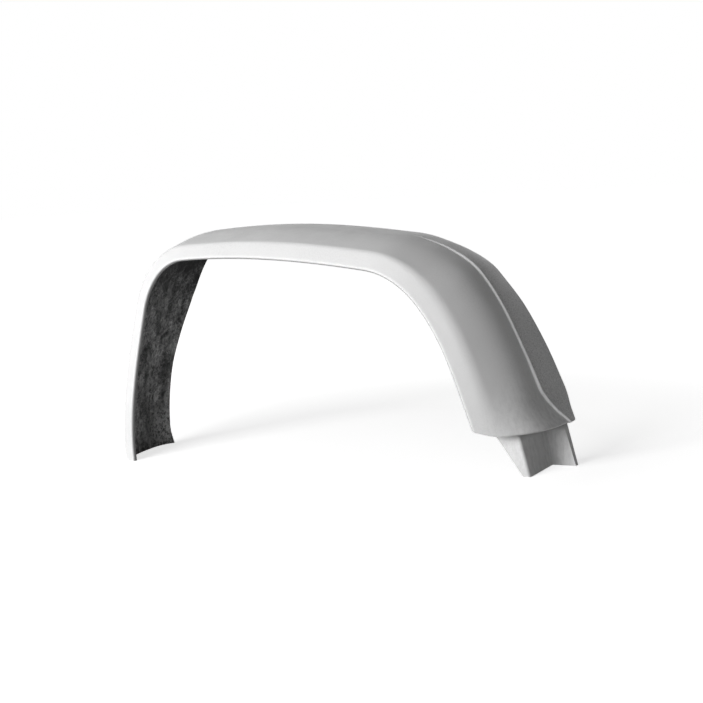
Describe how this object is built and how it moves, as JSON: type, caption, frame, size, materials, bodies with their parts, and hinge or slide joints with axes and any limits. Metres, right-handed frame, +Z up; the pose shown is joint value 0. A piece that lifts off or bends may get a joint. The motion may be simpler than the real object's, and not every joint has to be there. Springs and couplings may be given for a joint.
{
  "type": "truck cab fender",
  "caption": "Arched fender for a truck cab: a moulded shell with a flat front lip, a domed tread that widens towards the hem, a raised rear edge strip and an inset mounting stub.",
  "frame": {"origin": "centre of the bounding box's base, level with both feet", "axes": "+X along the wheel arch towards the mounting stub, +Y from the front lip to the rear edge, +Z up"},
  "size_m": [1.432, 0.363, 0.7026],
  "materials": {
    "gelcoat": "smooth light grey gelcoat outside, raw dark mottled laminate inside"
  },
  "bodies": {
    "root": {"fender_shell": "gelcoat"}
  },
  "joints": []
}
